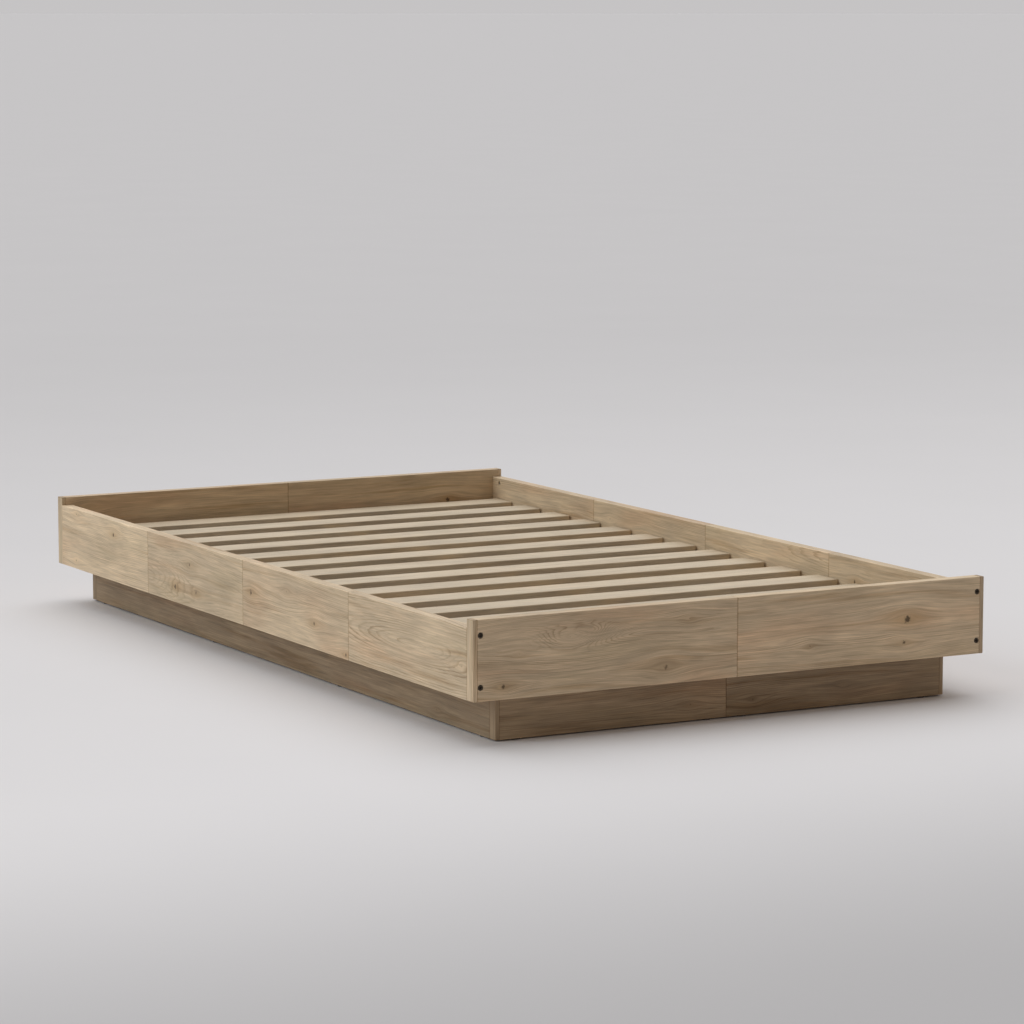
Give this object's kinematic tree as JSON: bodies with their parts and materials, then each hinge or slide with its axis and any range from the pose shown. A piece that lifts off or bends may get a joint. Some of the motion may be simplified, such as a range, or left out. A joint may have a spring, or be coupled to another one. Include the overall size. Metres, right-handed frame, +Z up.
{
  "type": "platform bed frame",
  "caption": "Low wooden platform bed frame: butted boards form rails and end boards bolted at the corners, on a recessed plinth, with a loose slat mat inside.",
  "frame": {"origin": "on the floor under the middle of the bed", "axes": "+X across the bed, +Y from the foot to the head, +Z up"},
  "size_m": [1.16, 2.06, 0.244],
  "materials": {
    "rail_boards": "oiled, matt",
    "plinth_boards": "oiled, matt",
    "inner_timber": "planed, bare",
    "slat_timber": "planed, bare",
    "dowel_beech": "bare",
    "black_steel": "black oxide",
    "zinc_steel": "zinc plated",
    "cotton_webbing": "woven cotton",
    "glide_plastic": "moulded"
  },
  "bodies": {
    "frame": {"angle_brackets": "zinc_steel", "barrel_nuts": "zinc_steel", "bolt_washers": "black_steel", "bracket_screws": "zinc_steel", "centre_beam": "inner_timber", "corner_bolts": "black_steel", "cross_bearer_1": "inner_timber", "cross_bearer_2": "inner_timber", "cross_bearer_3": "inner_timber", "cross_bearer_4": "inner_timber", "dowels": "dowel_beech", "floor_glides": "glide_plastic", "foot_batten": "inner_timber", "foot_board_left": "rail_boards", "foot_board_right": "rail_boards", "foot_end_cap_left": "rail_boards", "foot_end_cap_right": "rail_boards", "head_batten": "inner_timber", "head_board_left": "rail_boards", "head_board_right": "rail_boards", "head_end_cap_left": "rail_boards", "head_end_cap_right": "rail_boards", "left_rail_board_1": "rail_boards", "left_rail_board_2": "rail_boards", "left_rail_board_3": "rail_boards", "left_rail_board_4": "rail_boards", "left_slat_ledger": "inner_timber", "plinth_corner_blocks": "inner_timber", "plinth_end_caps": "plinth_boards", "plinth_foot_left": "plinth_boards", "plinth_foot_right": "plinth_boards", "plinth_head_left": "plinth_boards", "plinth_head_right": "plinth_boards", "plinth_left_side": "plinth_boards", "plinth_right_side": "plinth_boards", "plinth_spine": "inner_timber", "plinth_splice_blocks": "inner_timber", "right_rail_board_1": "rail_boards", "right_rail_board_2": "rail_boards", "right_rail_board_3": "rail_boards", "right_rail_board_4": "rail_boards", "right_slat_ledger": "inner_timber", "wood_screws": "zinc_steel"},
    "slat_mat": {"left_slat_strap": "cotton_webbing", "right_slat_strap": "cotton_webbing", "slat_01": "slat_timber", "slat_02": "slat_timber", "slat_03": "slat_timber", "slat_04": "slat_timber", "slat_05": "slat_timber", "slat_06": "slat_timber", "slat_07": "slat_timber", "slat_08": "slat_timber", "slat_09": "slat_timber", "slat_10": "slat_timber", "slat_11": "slat_timber", "slat_12": "slat_timber", "slat_13": "slat_timber", "slat_14": "slat_timber", "strap_tacks": "zinc_steel"}
  },
  "joints": [
    {"name": "slat_mat_lift", "type": "slide", "parent": "frame", "child": "slat_mat", "axis": [0, 0, 1], "range_m": [0, 0.25]}
  ]
}
